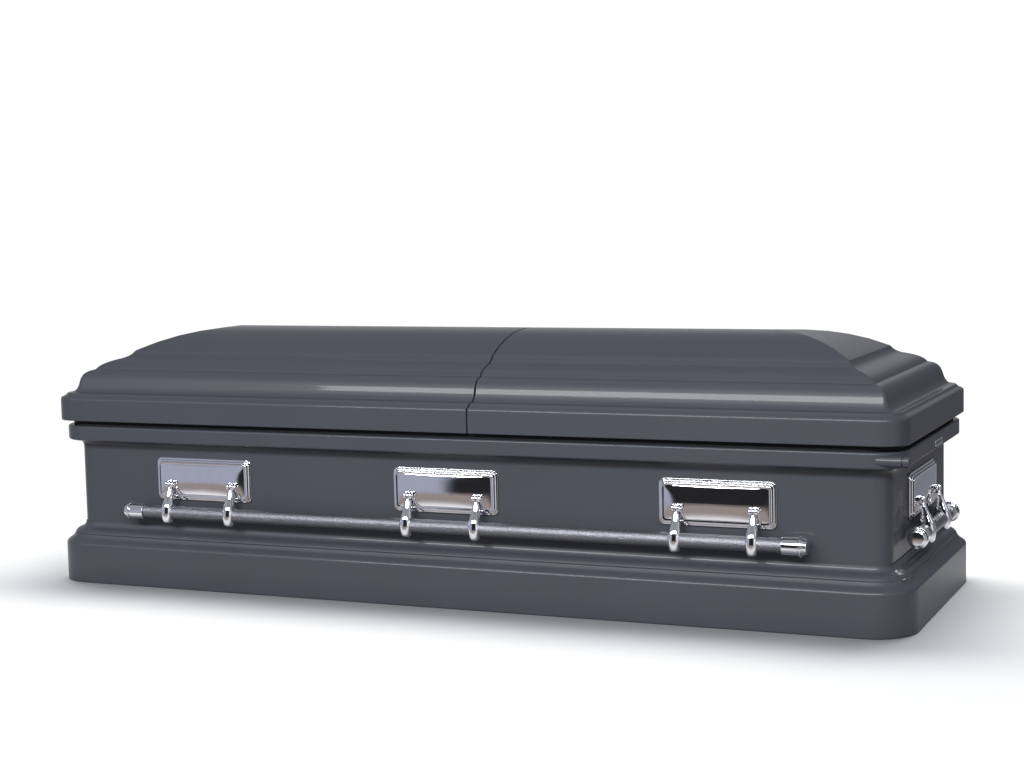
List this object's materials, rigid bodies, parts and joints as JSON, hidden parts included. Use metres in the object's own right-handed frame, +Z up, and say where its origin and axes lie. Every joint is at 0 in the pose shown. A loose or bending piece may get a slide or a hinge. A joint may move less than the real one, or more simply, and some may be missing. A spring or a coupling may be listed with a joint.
{
  "type": "funeral casket",
  "caption": "Half-couch metal casket with a moulded base, straight walls, a mitred dome lid in rear-hinged halves, and swing-bar handles on chrome ear plates.",
  "frame": {"origin": "on the floor, under the middle of the base", "axes": "+X along the length to the foot end, -Y to the front, +Z up"},
  "size_m": [2.14, 0.73, 0.612],
  "materials": {
    "paint": "slate grey satin paint under clear coat",
    "chrome": "mirror chrome plate",
    "pewter": "hammered pewter grey",
    "rubber": "matt black rubber",
    "steel": "plain grey steel"
  },
  "bodies": {
    "casket_body": {"base_moulding": "paint", "bottom_pan": "paint", "body_shell": "paint", "lid_gasket": "rubber", "hinge_body_leaf_1": "steel", "hinge_body_leaf_2": "steel", "hinge_body_leaf_3": "steel", "hinge_body_leaf_4": "steel", "ear_front_1": "chrome", "ear_front_2": "chrome", "ear_front_3": "chrome", "ear_rear_1": "chrome", "ear_rear_2": "chrome", "ear_rear_3": "chrome", "ear_head_end_1": "chrome", "ear_foot_end_1": "chrome", "record_tube": "paint", "record_tube_cap": "paint", "blank_plate": "steel"},
    "head_lid_half": {"head_lid": "paint", "hinge_lid_leaf_1": "steel", "hinge_lid_leaf_2": "steel"},
    "foot_lid_half": {"foot_lid": "paint", "hinge_lid_leaf_3": "steel", "hinge_lid_leaf_4": "steel"},
    "front_handle": {"arm_front_1": "chrome", "arm_front_2": "chrome", "arm_front_3": "chrome", "arm_front_4": "chrome", "arm_front_5": "chrome", "arm_front_6": "chrome", "bar_front": "pewter", "tip_front_1": "chrome", "tip_front_2": "chrome"},
    "rear_handle": {"arm_rear_1": "chrome", "arm_rear_2": "chrome", "arm_rear_3": "chrome", "arm_rear_4": "chrome", "arm_rear_5": "chrome", "arm_rear_6": "chrome", "bar_rear": "pewter", "tip_rear_1": "chrome", "tip_rear_2": "chrome"},
    "head_end_handle": {"arm_head_end_1": "chrome", "arm_head_end_2": "chrome", "bar_head_end": "pewter", "tip_head_end_1": "chrome", "tip_head_end_2": "chrome"},
    "foot_end_handle": {"arm_foot_end_1": "chrome", "arm_foot_end_2": "chrome", "bar_foot_end": "pewter", "tip_foot_end_1": "chrome", "tip_foot_end_2": "chrome"}
  },
  "joints": [
    {"name": "head_lid_hinge", "type": "hinge", "parent": "casket_body", "child": "head_lid_half", "pos_m": [-0.475, 0.354, 0.393], "axis": [-1, 0, 0], "range_deg": [0, 95]},
    {"name": "foot_lid_hinge", "type": "hinge", "parent": "casket_body", "child": "foot_lid_half", "pos_m": [0.58, 0.354, 0.393], "axis": [-1, 0, 0], "range_deg": [0, 95]},
    {"name": "front_bar_swing", "type": "hinge", "parent": "casket_body", "child": "front_handle", "pos_m": [0, -0.3305, 0.25], "axis": [-1, 0, 0], "range_deg": [0, 90]},
    {"name": "rear_bar_swing", "type": "hinge", "parent": "casket_body", "child": "rear_handle", "pos_m": [0, 0.3305, 0.25], "axis": [1, 0, 0], "range_deg": [0, 90]},
    {"name": "head_end_bar_swing", "type": "hinge", "parent": "casket_body", "child": "head_end_handle", "pos_m": [-1.0355, 0, 0.25], "axis": [0, 1, 0], "range_deg": [0, 90]},
    {"name": "foot_end_bar_swing", "type": "hinge", "parent": "casket_body", "child": "foot_end_handle", "pos_m": [1.0355, 0, 0.25], "axis": [0, -1, 0], "range_deg": [0, 90]}
  ]
}
